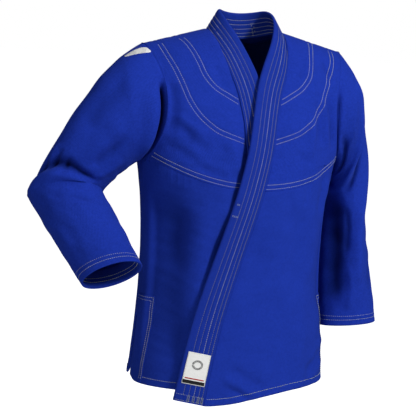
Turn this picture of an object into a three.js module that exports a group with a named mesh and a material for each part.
import * as THREE from 'three';

// Grappling jacket, worn shape, left front over right. Millimetres.
// Origin at the centre of the neck base, +Z up, the front faces -Y, +X is the wearer's left.

// Driving dimensions: body
const FRONT_LENGTH = 678; // neck base to the hem, at the sides
const FRONT_DIP = 27; // how much lower the left hem hangs where it meets the lapel
const BACK_LENGTH = 672;
const HEM_HALF_WIDTH = 200;
const WAIST_HALF_WIDTH = 181;
const WAIST_DROP = 430;
const CHEST_HALF_WIDTH = 197;
const ARMPIT_DROP = 250;
const SHOULDER_HALF_WIDTH = 200;
const SHOULDER_FALL = 33; // shoulder tip below the neck
const HEM_DEPTH_FRONT = 137;
const HEM_DEPTH_BACK = 120;
const WAIST_DEPTH_FRONT = 120;
const WAIST_DEPTH_BACK = 104;
const CHEST_DEPTH = 118;
const NECK_DEPTH = 74;
const SHOULDER_ROUND = 75; // how far below the shoulder line the body reaches its full depth
const ARMHOLE_CURVE = 27; // how far the armhole seam bows in between shoulder tip and armpit
const SECTION_POWER = 2.5; // squareness of the body's cross-section
const CHEST_SEAM_DROP = 291; // seam between chest and skirt, at the centre front
const CHEST_SEAM_RISE = 58; // how much higher that seam is at the sides
const VENT_LENGTH = 133; // side slits, up from the hem
const VENT_HALF_WIDTH = 4;
const HINGE_HALF_WIDTH = 150; // the skirt fronts swing about upright lines this far from the centre
const HINGE_EASE = 9; // the skirt fronts are this much shorter at the top beside those lines

// Collar, lapels and trim
const LAPEL_WIDTH = 50;
const LAPEL_THICKNESS = 7;
const COVER_THICKNESS = 1.6;
const NECK_HALF_WIDTH = 76;
const NECK_BACK_DROP = 14;
const OVERLAP_LIFT = 7.5; // the left front lies this much further out than the right one
const HEM_TAPE = 20;
const TIP_BINDING = 16;
const CLOTH = 3;
const LINING = 1.6;
const LINING_GAP = 3.2; // room between two layers that follow the same curve
const SEAM_GAP = 0.3;
const FOLD_GAP = 0.9; // room at a seam that runs across a curve
const LINING_SHORT = 14; // the yoke linings stop this far below the shoulder line
const LINING_SLACK = 7;
const PATCH_WIDTH = 32;
const LABEL_WIDTH = 42;
const LABEL_HEIGHT = 62;
const LABEL_THICKNESS = 1;
const LABEL_RAISE = 38; // height of the label's centre above the hem
const YOKE_DROP = 205; // lower edge of the yoke linings at the centre
const YOKE_RISE = 115; // how much higher it is at the armholes
const YOKE_INSET = 22; // room between the linings and the armholes

// Sleeves
const ELBOW_GAP = 10; // run of soft elbow on its outer side, each way from the elbow line
const HEAD_RUN = 12; // run of the sleeve head over the shoulder
const CUFF_FACING = 38;
const WALL = 3;
const ROUND_STEPS = 18;
const ARMS = {
  right: {
    side: -1,
    cap: [-290, 3, -60], // pulls the outer line of the upper sleeve outwards
    upper: [-140, 13, -179], // armhole centre to elbow centre
    fore: [61, -134, -134], // elbow centre to cuff centre
    elbowAcross: [-0.883, 0.434, -0.179],
    elbowHalf: [72, 66],
    cuffAcross: [-0.886, 0.274, -0.374],
    cuffHalf: [58, 45],
    inside: -Math.PI / 2, // which way round the sleeve the elbow closes
    headRun: 46,
    elbowUpper: 8,
    elbowFore: 56,
  },
  left: {
    side: 1,
    cap: [265, 3, -75],
    upper: [36, 17, -172],
    fore: [25, -15, -262],
    elbowAcross: [1, 0, 0],
    elbowHalf: [41, 78],
    cuffAcross: [1, 0, 0],
    cuffHalf: [60, 46],
    inside: Math.PI,
    headRun: 12,
    elbowUpper: 30,
    elbowFore: 130,
  },
};

// Finishes
const finish = (color, roughness = 0.9) => new THREE.MeshStandardMaterial({ color, roughness, metalness: 0 });
const CLOTH_BLUE = finish(0x2c42ad);
const TRIM_BLUE = finish(0x2a3c97);
const LINING_BLUE = finish(0x11206e);
const CORE_GREY = finish(0x8f8f8a);
const LABEL_WHITE = finish(0xf2f2ee, 0.6);

const jacket = new THREE.Group();

// Numbers and curves
const mix = (a, b, t) => a + (b - a) * t;
const clamp = (v, low = 0, high = 1) => Math.min(high, Math.max(low, v));
const smooth = (v) => clamp(v) ** 2 * (3 - 2 * clamp(v));

// A smooth height profile through a few [height, value] points, lowest first.
function profile(points) {
  const slope = (i) => (points[i + 1][1] - points[i][1]) / (points[i + 1][0] - points[i][0]);
  const last = points.length - 1;
  const tangents = points.map((_, i) => {
    if (i === 0) return slope(0);
    if (i === last) return slope(last - 1);
    return (slope(i - 1) + slope(i)) / 2;
  });
  return (height) => {
    const z = clamp(height, points[0][0], points[last][0]);
    let i = 0;
    while (i < last - 1 && z > points[i + 1][0]) i += 1;
    const span = points[i + 1][0] - points[i][0];
    const t = (z - points[i][0]) / span;
    return (2 * t ** 3 - 3 * t ** 2 + 1) * points[i][1]
      + (t ** 3 - 2 * t ** 2 + t) * span * tangents[i]
      + (3 * t ** 2 - 2 * t ** 3) * points[i + 1][1]
      + (t ** 3 - t ** 2) * span * tangents[i + 1];
  };
}

// Body surface
const BELOW_HEM = FRONT_LENGTH + 60;
const halfWidth = profile([
  [-BELOW_HEM, HEM_HALF_WIDTH],
  [-WAIST_DROP, WAIST_HALF_WIDTH],
  [-ARMPIT_DROP, CHEST_HALF_WIDTH],
  [-ARMPIT_DROP / 2, SHOULDER_HALF_WIDTH + 38],
  [0, SHOULDER_HALF_WIDTH + 53],
]);
const depthFront = profile([
  [-BELOW_HEM, HEM_DEPTH_FRONT],
  [-WAIST_DROP, WAIST_DEPTH_FRONT],
  [-CHEST_SEAM_DROP, WAIST_DEPTH_FRONT + 8],
  [-0.72 * ARMPIT_DROP, CHEST_DEPTH],
  [-0.24 * ARMPIT_DROP, mix(CHEST_DEPTH, NECK_DEPTH, 0.68)],
  [0, NECK_DEPTH],
]);
const depthBack = profile([
  [-BELOW_HEM, HEM_DEPTH_BACK],
  [-WAIST_DROP, WAIST_DEPTH_BACK],
  [-CHEST_SEAM_DROP, WAIST_DEPTH_BACK + 8],
  [-0.72 * ARMPIT_DROP, CHEST_DEPTH],
  [-0.24 * ARMPIT_DROP, mix(CHEST_DEPTH, NECK_DEPTH, 0.6)],
  [0, NECK_DEPTH],
]);
const shoulderLine = (x) => (
  -Math.max(0, Math.abs(x) - NECK_HALF_WIDTH) * SHOULDER_FALL / (SHOULDER_HALF_WIDTH - NECK_HALF_WIDTH)
);

// 1 where the body has its full depth, falling to 0 along the shoulder line.
const fullness = (x, z) => 1 - (1 - clamp((shoulderLine(x) - z) / SHOULDER_ROUND)) ** 2;

function depthAt(x, z, side) {
  const across = clamp(1 - (Math.abs(x) / halfWidth(z)) ** SECTION_POWER);
  const depth = side < 0 ? depthFront(z) : depthBack(z);
  return side * depth * Math.sqrt(across * fullness(x, z));
}

// Zero on the body surface; its slope gives the outward direction.
function surfaceLevel(x, y, z, side) {
  const depth = side < 0 ? depthFront(z) : depthBack(z);
  return (y / depth) ** 2 - (1 - (Math.abs(x) / halfWidth(z)) ** SECTION_POWER) * fullness(x, z);
}

function outward(x, y, z, side) {
  const h = 0.5;
  const drop = (dx, dy, dz) => (
    surfaceLevel(x + dx, y + dy, z + dz, side) - surfaceLevel(x - dx, y - dy, z - dz, side)
  );
  return new THREE.Vector3(drop(h, 0, 0), drop(0, h, 0), drop(0, 0, h)).normalize();
}

function bodyPoint(x, z, side, offset) {
  const y = depthAt(x, z, side);
  return new THREE.Vector3(x, y, z).addScaledVector(outward(x, y, z, side), offset);
}

// Seam and edge lines: x for a height, or height for an x
const centre = (x) => Math.abs(x) / CHEST_HALF_WIDTH;
const chestSeam = (x) => -CHEST_SEAM_DROP + CHEST_SEAM_RISE * centre(x) ** 2.2;
const armholeTop = shoulderLine(SHOULDER_HALF_WIDTH);
const armholeBottomX = halfWidth(-ARMPIT_DROP);
function armholeX(z) {
  const t = clamp((z + ARMPIT_DROP) / (armholeTop + ARMPIT_DROP));
  return mix(armholeBottomX, SHOULDER_HALF_WIDTH, t) - ARMHOLE_CURVE * (1 - (2 * t - 1) ** 2);
}
const sideX = (z) => (z < -ARMPIT_DROP ? halfWidth(z) : armholeX(z));
const backNeck = (x) => -NECK_BACK_DROP * clamp(1 - (x / NECK_HALF_WIDTH) ** 2);
const leftHem = (x) => -FRONT_LENGTH - FRONT_DIP * smooth((115 - x) / 200);
const rightHem = () => -FRONT_LENGTH;

// Where the chest and skirt meet the lapel. The left line slants to the right hip, the right one
// drops almost straight under it.
const leftAttach = profile([
  [-BELOW_HEM, -LAPEL_WIDTH - 44],
  [-FRONT_LENGTH + 118, -61],
  [-CHEST_SEAM_DROP - 109, -19],
  [-CHEST_SEAM_DROP + 51, 20],
  [-120, NECK_HALF_WIDTH - 35],
  [-50, NECK_HALF_WIDTH - 12],
  [0, NECK_HALF_WIDTH],
]);
const rightAttach = profile([
  [-BELOW_HEM, 12],
  [-WAIST_DROP, 6],
  [-CHEST_SEAM_DROP, -8],
  [-CHEST_SEAM_DROP + 51, -20],
  [-120, 35 - NECK_HALF_WIDTH],
  [-50, 12 - NECK_HALF_WIDTH],
  [0, -NECK_HALF_WIDTH],
]);

// How far the left front is lifted clear of the right one beneath it.
const leftLift = (x, z) => OVERLAP_LIFT * smooth((-35 - z) / 60) * smooth((HINGE_HALF_WIDTH - x) / 50);

// Mesh building
function addBody(name, material, positions, faces) {
  const corner = (i) => new THREE.Vector3().fromArray(positions, 3 * i);
  const volume = faces.reduce((sum, f) => sum + corner(f[0]).dot(corner(f[1]).cross(corner(f[2]))), 0);
  const outwardFaces = volume < 0 ? faces.map((f) => [f[0], f[2], f[1]]) : faces;
  const geometry = new THREE.BufferGeometry();
  geometry.setAttribute('position', new THREE.Float32BufferAttribute(positions, 3));
  geometry.setIndex(outwardFaces.flat());
  geometry.computeVertexNormals();
  const mesh = new THREE.Mesh(geometry, material);
  mesh.name = name;
  jacket.add(mesh);
  return mesh;
}

// A closed body through rings of points, all with the same outline. Open ends are capped by `cap`
// triangles of the outline; a ring-shaped body closes on itself instead.
function addLoft(name, material, rings, cap) {
  const count = rings[0].length;
  const positions = rings.flat().flatMap((p) => [p.x, p.y, p.z]);
  const faces = [];
  const last = cap ? rings.length - 1 : rings.length;
  for (let i = 0; i < last; i += 1) {
    for (let j = 0; j < count; j += 1) {
      const a = i * count + j;
      const b = i * count + ((j + 1) % count);
      const c = ((i + 1) % rings.length) * count + j;
      const d = ((i + 1) % rings.length) * count + ((j + 1) % count);
      faces.push([a, b, d], [a, d, c]);
    }
  }
  if (cap) {
    const end = (rings.length - 1) * count;
    cap.forEach(([a, b, c]) => faces.push([a, c, b], [end + a, end + b, end + c]));
  }
  return addBody(name, material, positions, faces);
}

// Arc length along a cross-section and up over the rounded shoulder, and back again, so that
// rows and columns of a panel are evenly spread.
const turn = (x, z) => Math.sign(x) * Math.asin(clamp((Math.abs(x) / halfWidth(z))) ** (SECTION_POWER / 2));
const unturn = (a, z) => Math.sign(a) * halfWidth(z) * Math.sin(Math.abs(a)) ** (2 / SECTION_POWER);
function climb(x, z) {
  const bend = shoulderLine(x) - SHOULDER_ROUND;
  return z < bend ? z : bend + SHOULDER_ROUND * Math.asin(clamp((z - bend) / SHOULDER_ROUND));
}
function unclimb(x, s) {
  const bend = shoulderLine(x) - SHOULDER_ROUND;
  return s < bend ? s : bend + SHOULDER_ROUND * Math.sin(Math.min((s - bend) / SHOULDER_ROUND, Math.PI / 2));
}

// One cut of cloth between four edge lines, from `inner` to `outer` off the body surface.
function addPanel(name, material, { side, from, to, bottom, top, inner, outer, cols, rows }) {
  const offset = (limit, x, z) => (typeof limit === 'function' ? limit(x, z) : limit);
  const place = (u, v) => {
    let z = mix(bottom(0), top(0), v);
    let x = 0;
    for (let pass = 0; pass < 12; pass += 1) {
      x = unturn(mix(turn(from(z), z), turn(to(z), z), u), z);
      z = unclimb(x, mix(climb(x, bottom(x)), climb(x, top(x)), v));
    }
    return [x, z];
  };
  const rings = [];
  for (let i = 0; i <= rows; i += 1) {
    const spots = [];
    for (let j = 0; j <= cols; j += 1) spots.push(place(j / cols, i / rows));
    const apart = new THREE.Vector3(0, side * SEAM_GAP / 2, 0);
    const back = spots.map(([x, z]) => bodyPoint(x, z, side, offset(inner, x, z)).add(apart));
    const face = spots.map(([x, z]) => bodyPoint(x, z, side, offset(outer, x, z)).add(apart));
    rings.push([...back, ...face.reverse()]);
  }
  const cap = [];
  const turnOver = 2 * cols + 1;
  for (let j = 0; j < cols; j += 1) {
    cap.push([j, j + 1, turnOver - j - 1], [j, turnOver - j - 1, turnOver - j]);
  }
  return addLoft(name, material, rings, cap);
}

// Back of the jacket
const under = (line) => (x) => line(x) - SEAM_GAP;
const over = (line) => (x) => line(x) + SEAM_GAP;
const ventTop = VENT_LENGTH - FRONT_LENGTH;
const backEdge = (z) => sideX(z) - FOLD_GAP * smooth((z + ARMPIT_DROP) / 8);
// The slit is measured front to back, so its edges stand only a little way in from the side line.
const slitDepth = (z) => (VENT_HALF_WIDTH / WAIST_DEPTH_BACK) * smooth((ventTop - z) / 20);
const ventedEdge = (z) => backEdge(z) * (1 - slitDepth(z) ** 2 / SECTION_POWER);
const backTop = (x) => (Math.abs(x) < NECK_HALF_WIDTH ? backNeck(x) : shoulderLine(x));
const backHem = () => -BACK_LENGTH;
const backHemTop = () => -BACK_LENGTH + HEM_TAPE;
const mirrored = (edge) => (z) => -edge(z);
const backCloth = { side: 1, inner: 0, outer: CLOTH };
addPanel('back_panel', CLOTH_BLUE, {
  ...backCloth, from: mirrored(backEdge), to: backEdge, bottom: over(chestSeam), top: backTop,
  cols: 20, rows: 15,
});
addPanel('back_skirt', CLOTH_BLUE, {
  ...backCloth, from: mirrored(ventedEdge), to: ventedEdge, bottom: over(backHemTop), top: under(chestSeam),
  cols: 20, rows: 10,
});
addPanel('back_hem_tape', TRIM_BLUE, {
  ...backCloth, outer: CLOTH + 1, from: mirrored(ventedEdge), to: ventedEdge,
  bottom: backHem, top: under(backHemTop), cols: 20, rows: 1,
});
const yokeEdge = (z) => armholeX(z) - YOKE_INSET;
const yokeBottom = (x) => -YOKE_DROP + YOKE_RISE * (Math.abs(x) / SHOULDER_HALF_WIDTH) ** 2;
// The linings hang a little freer where the shoulder turns over.
const hang = (x, z) => LINING_GAP + LINING_SLACK * (1 - fullness(x, z));
const lining = { inner: (x, z) => -hang(x, z) - LINING, outer: (x, z) => -hang(x, z) };
addPanel('back_yoke_lining', LINING_BLUE, {
  ...lining, side: 1, from: mirrored(yokeEdge), to: yokeEdge, bottom: yokeBottom,
  top: (x) => backTop(x) - LINING_SHORT, cols: 18, rows: 9,
});

// Both fronts
const nearLapel = 2 * SEAM_GAP;
function addFront(sideName, s, attach, hem, lift) {
  const between = (near, far) => (s < 0 ? { from: mirrored(far), to: near } : { from: near, to: far });
  const lapelEdge = (z) => attach(z) + s * nearLapel;
  const front = { side: -1, inner: lift, outer: (x, z) => lift(x, z) + CLOTH };
  const hemTop = (x) => hem(x) + HEM_TAPE;
  const ease = (x) => HINGE_EASE * smooth(2 * Math.abs(x) / HINGE_HALF_WIDTH - 1);
  const skirtTop = (x) => chestSeam(x) - SEAM_GAP - ease(x);
  const hinge = () => HINGE_HALF_WIDTH - SEAM_GAP / 2;
  const hingeSide = () => HINGE_HALF_WIDTH + SEAM_GAP / 2;
  addPanel(`${sideName}_chest_panel`, CLOTH_BLUE, {
    ...front, ...between(lapelEdge, backEdge), bottom: over(chestSeam), top: shoulderLine, cols: 9, rows: 12,
  });
  addPanel(`${sideName}_shoulder_lining`, LINING_BLUE, {
    ...lining, side: -1, ...between((z) => attach(z) + s * 14, yokeEdge), bottom: yokeBottom,
    top: (x) => shoulderLine(x) - LINING_SHORT,
    inner: (x, z) => lift(x, z) + lining.inner(x, z),
    outer: (x, z) => lift(x, z) + lining.outer(x, z),
    cols: 8,
    rows: 10,
  });
  const skirtEdge = (z) => lapelEdge(z) + 2 * s * smooth((z + CHEST_SEAM_DROP + 30) / 15);
  addPanel(`${sideName}_skirt_front`, CLOTH_BLUE, {
    ...front, ...between(skirtEdge, hinge), bottom: over(hemTop), top: skirtTop, cols: 8, rows: 10,
  });
  addPanel(`${sideName}_front_hem_tape`, TRIM_BLUE, {
    ...front, ...between(lapelEdge, hinge), outer: (x, z) => lift(x, z) + CLOTH + 1,
    bottom: hem, top: under(hemTop), cols: 8, rows: 1,
  });
  const sidePanel = s < 0
    ? { from: mirrored(ventedEdge), to: mirrored(hingeSide) }
    : { from: hingeSide, to: ventedEdge };
  addPanel(`${sideName}_side_panel`, CLOTH_BLUE, {
    ...front, ...sidePanel, bottom: hem, top: under(chestSeam), cols: 4, rows: 10,
  });
  const patchInner = (z) => ventedEdge(z) - PATCH_WIDTH;
  const patchOuter = (z) => ventedEdge(z) - 2;
  const patch = s < 0
    ? { from: mirrored(patchOuter), to: mirrored(patchInner) }
    : { from: patchInner, to: patchOuter };
  addPanel(`${sideName}_vent_patch`, TRIM_BLUE, {
    side: -1, ...patch, inner: CLOTH + FOLD_GAP, outer: CLOTH + FOLD_GAP + LINING,
    bottom: (x) => hem(x) + 2, top: () => ventTop + 30, cols: 3, rows: 6,
  });
}
addFront('right', -1, rightAttach, rightHem, () => 0);
addFront('left', 1, leftAttach, leftHem, leftLift);

// Collar and lapels: one folded cover around a core strip
const onLapel = {
  right: { s: -1, attach: rightAttach, base: () => -1 },
  left: { s: 1, attach: leftAttach, base: (x, z) => leftLift(x, z) - 0.5 * smooth((-35 - z) / 60) },
};

// A point of the band lying on the chest: `across` from the sewn edge to the free edge, `rise` off it.
function lapelPoint(lapel, z, across, rise) {
  const { s, attach, base } = onLapel[lapel];
  const lean = s * (attach(z + 1) - attach(z - 1)) / 2;
  const length = Math.hypot(1, lean);
  const x = attach(z) - s * across / length;
  const height = z + across * lean / length;
  const edge = bodyPoint(attach(z), z, -1, base(attach(z), z));
  const lying = bodyPoint(x, height, -1, base(x, height) + rise);
  const stand = smooth((z + 105) / 95);
  const up = new THREE.Vector3(-0.5 * s, -0.05, 0.86).normalize();
  const out = new THREE.Vector3(0.75 * s, -0.62, 0.4).normalize();
  const standing = edge.clone().addScaledVector(up, across).addScaledVector(out, rise - LAPEL_THICKNESS);
  return lying.lerp(standing, stand);
}

// The band standing round the neck: `angle` runs from the left shoulder over the back to the right.
function neckPoint(angle, across, rise) {
  const x = NECK_HALF_WIDTH * Math.cos(angle);
  const foot = bodyPoint(x, backNeck(x), 1, 0);
  foot.z += CLOTH + 2 * SEAM_GAP;
  const up = new THREE.Vector3(-0.5 * Math.cos(angle), -0.05 - 0.08 * Math.sin(angle), 0.86).normalize();
  const front = 1 - Math.sin(angle);
  const out = new THREE.Vector3(Math.cos(angle) * (1 - 0.25 * front), Math.sin(angle) - 0.3 * front, 0.2);
  out.normalize();
  return foot.addScaledVector(up, across).addScaledVector(out, rise - LAPEL_THICKNESS);
}

// Sections of the band as [across, rise]: the cover is folded round the free edge of the core.
const across = (from, to, rise) => [0, 1, 2, 3].map((i) => [mix(from, to, i / 3), rise]);
const coverInner = LAPEL_WIDTH - COVER_THICKNESS;
const coverSection = [
  ...across(0, LAPEL_WIDTH, 0),
  ...across(LAPEL_WIDTH, 0, LAPEL_THICKNESS),
  ...across(0, coverInner, LAPEL_THICKNESS - COVER_THICKNESS),
  ...across(coverInner, 0, COVER_THICKNESS),
];
const coreInset = COVER_THICKNESS + 2 * SEAM_GAP;
const coreSection = [
  ...across(1, LAPEL_WIDTH - coreInset, LAPEL_THICKNESS - coreInset),
  ...across(LAPEL_WIDTH - coreInset, 1, coreInset),
];
const solidSection = [...across(0, LAPEL_WIDTH, 0), ...across(LAPEL_WIDTH, 0, LAPEL_THICKNESS)];
function addBand(name, material, section, stations) {
  const outline = section.map(([a, r]) => new THREE.Vector2(a, r));
  const flat = THREE.ShapeUtils.triangulateShape(outline, []);
  const cap = THREE.ShapeUtils.isClockWise(outline) ? flat.map(([a, b, c]) => [a, c, b]) : flat;
  addLoft(name, material, stations.map((point) => section.map(([a, r]) => point(a, r))), cap);
}
// Stations up a lapel, closer together towards the top when `crowd` is over 1.
const alongLapel = (lapel, low, high, steps, crowd = 1) => Array.from({ length: steps + 1 }, (_, i) => (
  (a, rise) => lapelPoint(lapel, mix(low, high, 1 - (1 - i / steps) ** crowd), a, rise)
));
// The lower lapels move with the skirt fronts; the outer one parts above the inner one.
const PARTING = 3; // the inner lapel stops this much short of the collar, so it can swing clear
const lapelSplit = { right: -CHEST_SEAM_DROP - 12, left: -CHEST_SEAM_DROP + 8 };
const NECK_JOIN = -6;
const CORE_SHORT = 4; // the core stops this much short of the cover's ends
const roundNeck = Array.from({ length: 13 }, (_, i) => (
  (a, rise) => neckPoint(Math.PI * i / 12, a, rise)
));
const collarStations = [
  ...alongLapel('left', lapelSplit.left + SEAM_GAP, NECK_JOIN, 18, 1.6),
  ...roundNeck,
  ...alongLapel('right', lapelSplit.right + SEAM_GAP, NECK_JOIN, 18, 1.6).reverse(),
];
addBand('collar_cover', TRIM_BLUE, coverSection, collarStations);
addBand('collar_core', CORE_GREY, coreSection, [
  ...alongLapel('left', lapelSplit.left + CORE_SHORT, NECK_JOIN, 18, 1.6),
  ...roundNeck,
  ...alongLapel('right', lapelSplit.right + CORE_SHORT, NECK_JOIN, 18, 1.6).reverse(),
]);
const lapelEnds = { right: -FRONT_LENGTH - 4, left: -FRONT_LENGTH - FRONT_DIP };
for (const lapel of ['right', 'left']) {
  const end = lapelEnds[lapel];
  const bound = end + TIP_BINDING;
  const parting = lapel === 'right' ? PARTING : SEAM_GAP;
  const body = alongLapel(lapel, bound + SEAM_GAP, lapelSplit[lapel] - parting, 14);
  addBand(`${lapel}_lapel_cover`, TRIM_BLUE, coverSection, body);
  addBand(`${lapel}_lapel_core`, CORE_GREY, coreSection, body);
  addBand(`${lapel}_lapel_end`, TRIM_BLUE, solidSection, alongLapel(lapel, end, bound - SEAM_GAP, 1));
}

// Label: a flat tag on the outer face of the left lapel
const labelHeight = LABEL_RAISE - FRONT_LENGTH;
const labelMiddle = lapelPoint('left', labelHeight, LAPEL_WIDTH / 2, LAPEL_THICKNESS);
const labelAbove = lapelPoint('left', labelHeight + 10, LAPEL_WIDTH / 2, LAPEL_THICKNESS);
const labelBeside = lapelPoint('left', labelHeight, LAPEL_WIDTH / 2 - 10, LAPEL_THICKNESS);
const labelUp = labelAbove.clone().sub(labelMiddle).normalize();
const labelOut = labelUp.clone().cross(labelBeside.clone().sub(labelMiddle)).normalize();
labelOut.multiplyScalar(-Math.sign(labelOut.y));
const labelRight = labelUp.clone().cross(labelOut);
const label = new THREE.Mesh(new THREE.BoxGeometry(LABEL_WIDTH, LABEL_HEIGHT, LABEL_THICKNESS), LABEL_WHITE);
label.name = 'label';
label.quaternion.setFromRotationMatrix(new THREE.Matrix4().makeBasis(labelRight, labelUp, labelOut));
label.position.copy(labelMiddle).addScaledVector(labelOut, LABEL_THICKNESS / 2 + SEAM_GAP);
jacket.add(label);

// Sleeves
const vec = (a) => new THREE.Vector3(...a);
const armholeMiddle = (s) => new THREE.Vector3(
  s * mix(armholeBottomX, SHOULDER_HALF_WIDTH, 0.5), 0, (armholeTop - ARMPIT_DROP) / 2,
);

// The armhole seam on the body, `round` from the back over the shoulder to the front.
function armholePoint(s, round) {
  const reach = (armholeTop + ARMPIT_DROP) / 2;
  const z = (armholeTop - ARMPIT_DROP) / 2 + reach * Math.sin(round);
  const x = armholeX(z);
  return new THREE.Vector3(s * x, depthAt(x, z, Math.cos(round) < 0 ? -1 : 1), z);
}

// Sleeve surface: run 0 is the armhole, 1 the elbow, 2 the cuff edge.
function sleeveShape(arm) {
  const { side } = arm;
  const shoulder = armholeMiddle(side);
  const elbow = shoulder.clone().add(vec(arm.upper));
  const cuff = elbow.clone().add(vec(arm.fore));
  const elbowAcross = vec(arm.elbowAcross).normalize();
  const cuffAcross = vec(arm.cuffAcross).normalize();
  const upperWay = vec(arm.upper).normalize();
  const foreWay = vec(arm.fore).normalize();
  const top = armholePoint(side, Math.PI / 2);
  const armpit = armholePoint(side, -Math.PI / 2);
  const elbowOut = elbow.clone().addScaledVector(elbowAcross, arm.elbowHalf[0]);
  const elbowIn = elbow.clone().addScaledVector(elbowAcross, -arm.elbowHalf[0]);
  const outer = new THREE.QuadraticBezierCurve3(top, vec(arm.cap), elbowOut);
  const backward = (across, way) => across.clone().cross(way).multiplyScalar(side).normalize();
  const elbowBack = backward(elbowAcross, upperWay.clone().add(foreWay).normalize());
  const cuffBack = backward(cuffAcross, foreWay);
  const ring = (middle, across, back, round) => middle.clone()
    .addScaledVector(across, Math.sin(round))
    .addScaledVector(back, Math.cos(round));
  const surface = (run, round) => {
    if (run <= 1) {
      const high = outer.getPoint(run);
      const low = armpit.clone().lerp(elbowIn, run);
      const middle = high.clone().lerp(low, 0.5);
      const across = high.clone().sub(low).multiplyScalar(0.5);
      const back = new THREE.Vector3(0, 1, 0).lerp(elbowBack, run).normalize();
      back.multiplyScalar(mix(CHEST_DEPTH * 0.72, arm.elbowHalf[1], smooth(run)));
      const seam = armholePoint(side, round);
      return seam.lerp(ring(middle, across, back, round), smooth(run * 4));
    }
    const t = run - 1;
    const middle = elbow.clone().lerp(cuff, t);
    const across = elbowAcross.clone().lerp(cuffAcross, t).normalize();
    const back = elbowBack.clone().lerp(cuffBack, t).normalize();
    across.multiplyScalar(mix(arm.elbowHalf[0], arm.cuffHalf[0], t));
    back.multiplyScalar(mix(arm.elbowHalf[1], arm.cuffHalf[1], t));
    return ring(middle, across, back, round);
  };
  return { surface, elbowOut, elbow, outer, armpit, elbowIn, cuff };
}

function addSleeve(name, material, shape, start, end, steps, out, deep) {
  const middleOf = (run) => {
    const a = shape.surface(run, 0);
    return a.lerp(shape.surface(run, Math.PI), 0.5);
  };
  const rings = [];
  const wall = (i, inset) => {
    const ringPoints = [];
    for (let j = 0; j < ROUND_STEPS; j += 1) {
      const round = 2 * Math.PI * j / ROUND_STEPS;
      const run = mix(start(round), end(round), i / steps);
      const point = shape.surface(run, round);
      const inward = middleOf(run).sub(point).normalize();
      ringPoints.push(point.addScaledVector(inward, inset));
    }
    return ringPoints;
  };
  for (let i = 0; i <= steps; i += 1) rings.push(wall(i, out));
  for (let i = steps; i >= 0; i -= 1) rings.push(wall(i, deep));
  addLoft(name, material, rings, null);
}

const near = (round, at) => (1 + Math.cos(round - at)) / 2;
for (const [name, arm] of Object.entries(ARMS)) {
  const shape = sleeveShape(arm);
  const topLength = shape.outer.getLength();
  const underLength = shape.armpit.distanceTo(shape.elbowIn);
  const foreLength = vec(arm.fore).length();
  const headEnd = (round) => mix(arm.headRun / underLength, HEAD_RUN / topLength, (1 + Math.sin(round)) / 2);
  const upperLength = (round) => mix(underLength, topLength, (1 + Math.sin(round)) / 2);
  const softUpper = (round) => mix(ELBOW_GAP, arm.elbowUpper, near(round, arm.inside));
  const softFore = (round) => mix(ELBOW_GAP, arm.elbowFore, near(round, arm.inside));
  const elbowStart = (round) => 1 - softUpper(round) / upperLength(round);
  const elbowEnd = (round) => 1 + softFore(round) / foreLength;
  const armhole = (round) => FOLD_GAP / upperLength(round);
  const afterUpper = (line) => (round) => line(round) + FOLD_GAP / upperLength(round);
  const afterFore = (line) => (round) => line(round) + FOLD_GAP / foreLength;
  addSleeve(`${name}_sleeve_head`, CLOTH_BLUE, shape, armhole, headEnd, 2, 0, WALL);
  addSleeve(`${name}_upper_sleeve`, CLOTH_BLUE, shape, afterUpper(headEnd), elbowStart, 4, 0, WALL);
  addSleeve(`${name}_sleeve_elbow`, CLOTH_BLUE, shape, afterUpper(elbowStart), elbowEnd, 3, 0, WALL);
  addSleeve(`${name}_forearm_sleeve`, CLOTH_BLUE, shape, afterFore(elbowEnd), () => 2, 3, 0, WALL);
  const facingStart = () => 2 - CUFF_FACING / foreLength;
  const facing = WALL + LINING_GAP;
  addSleeve(`${name}_cuff_facing`, TRIM_BLUE, shape, facingStart, () => 2, 1, facing, facing + LINING);
}

// Emblem: a small stitched disc on the right shoulder
const emblemShape = sleeveShape(ARMS.right);
const emblemSpot = emblemShape.surface(0.14, 2.2);
const emblemAlong = emblemShape.surface(0.18, 2.2).sub(emblemSpot);
const emblemRound = emblemShape.surface(0.14, 2.3).sub(emblemSpot);
const emblemOut = emblemAlong.clone().cross(emblemRound).normalize();
if (emblemOut.dot(emblemSpot.clone().sub(emblemShape.elbowIn)) < 0) emblemOut.negate();
const emblem = new THREE.Mesh(new THREE.CylinderGeometry(9, 9, 0.8, 16), LABEL_WHITE);
emblem.name = 'shoulder_emblem';
emblem.quaternion.setFromUnitVectors(new THREE.Vector3(0, 1, 0), emblemOut);
emblem.position.copy(emblemSpot).addScaledVector(emblemOut, 0.9);
jacket.add(emblem);

export default jacket;
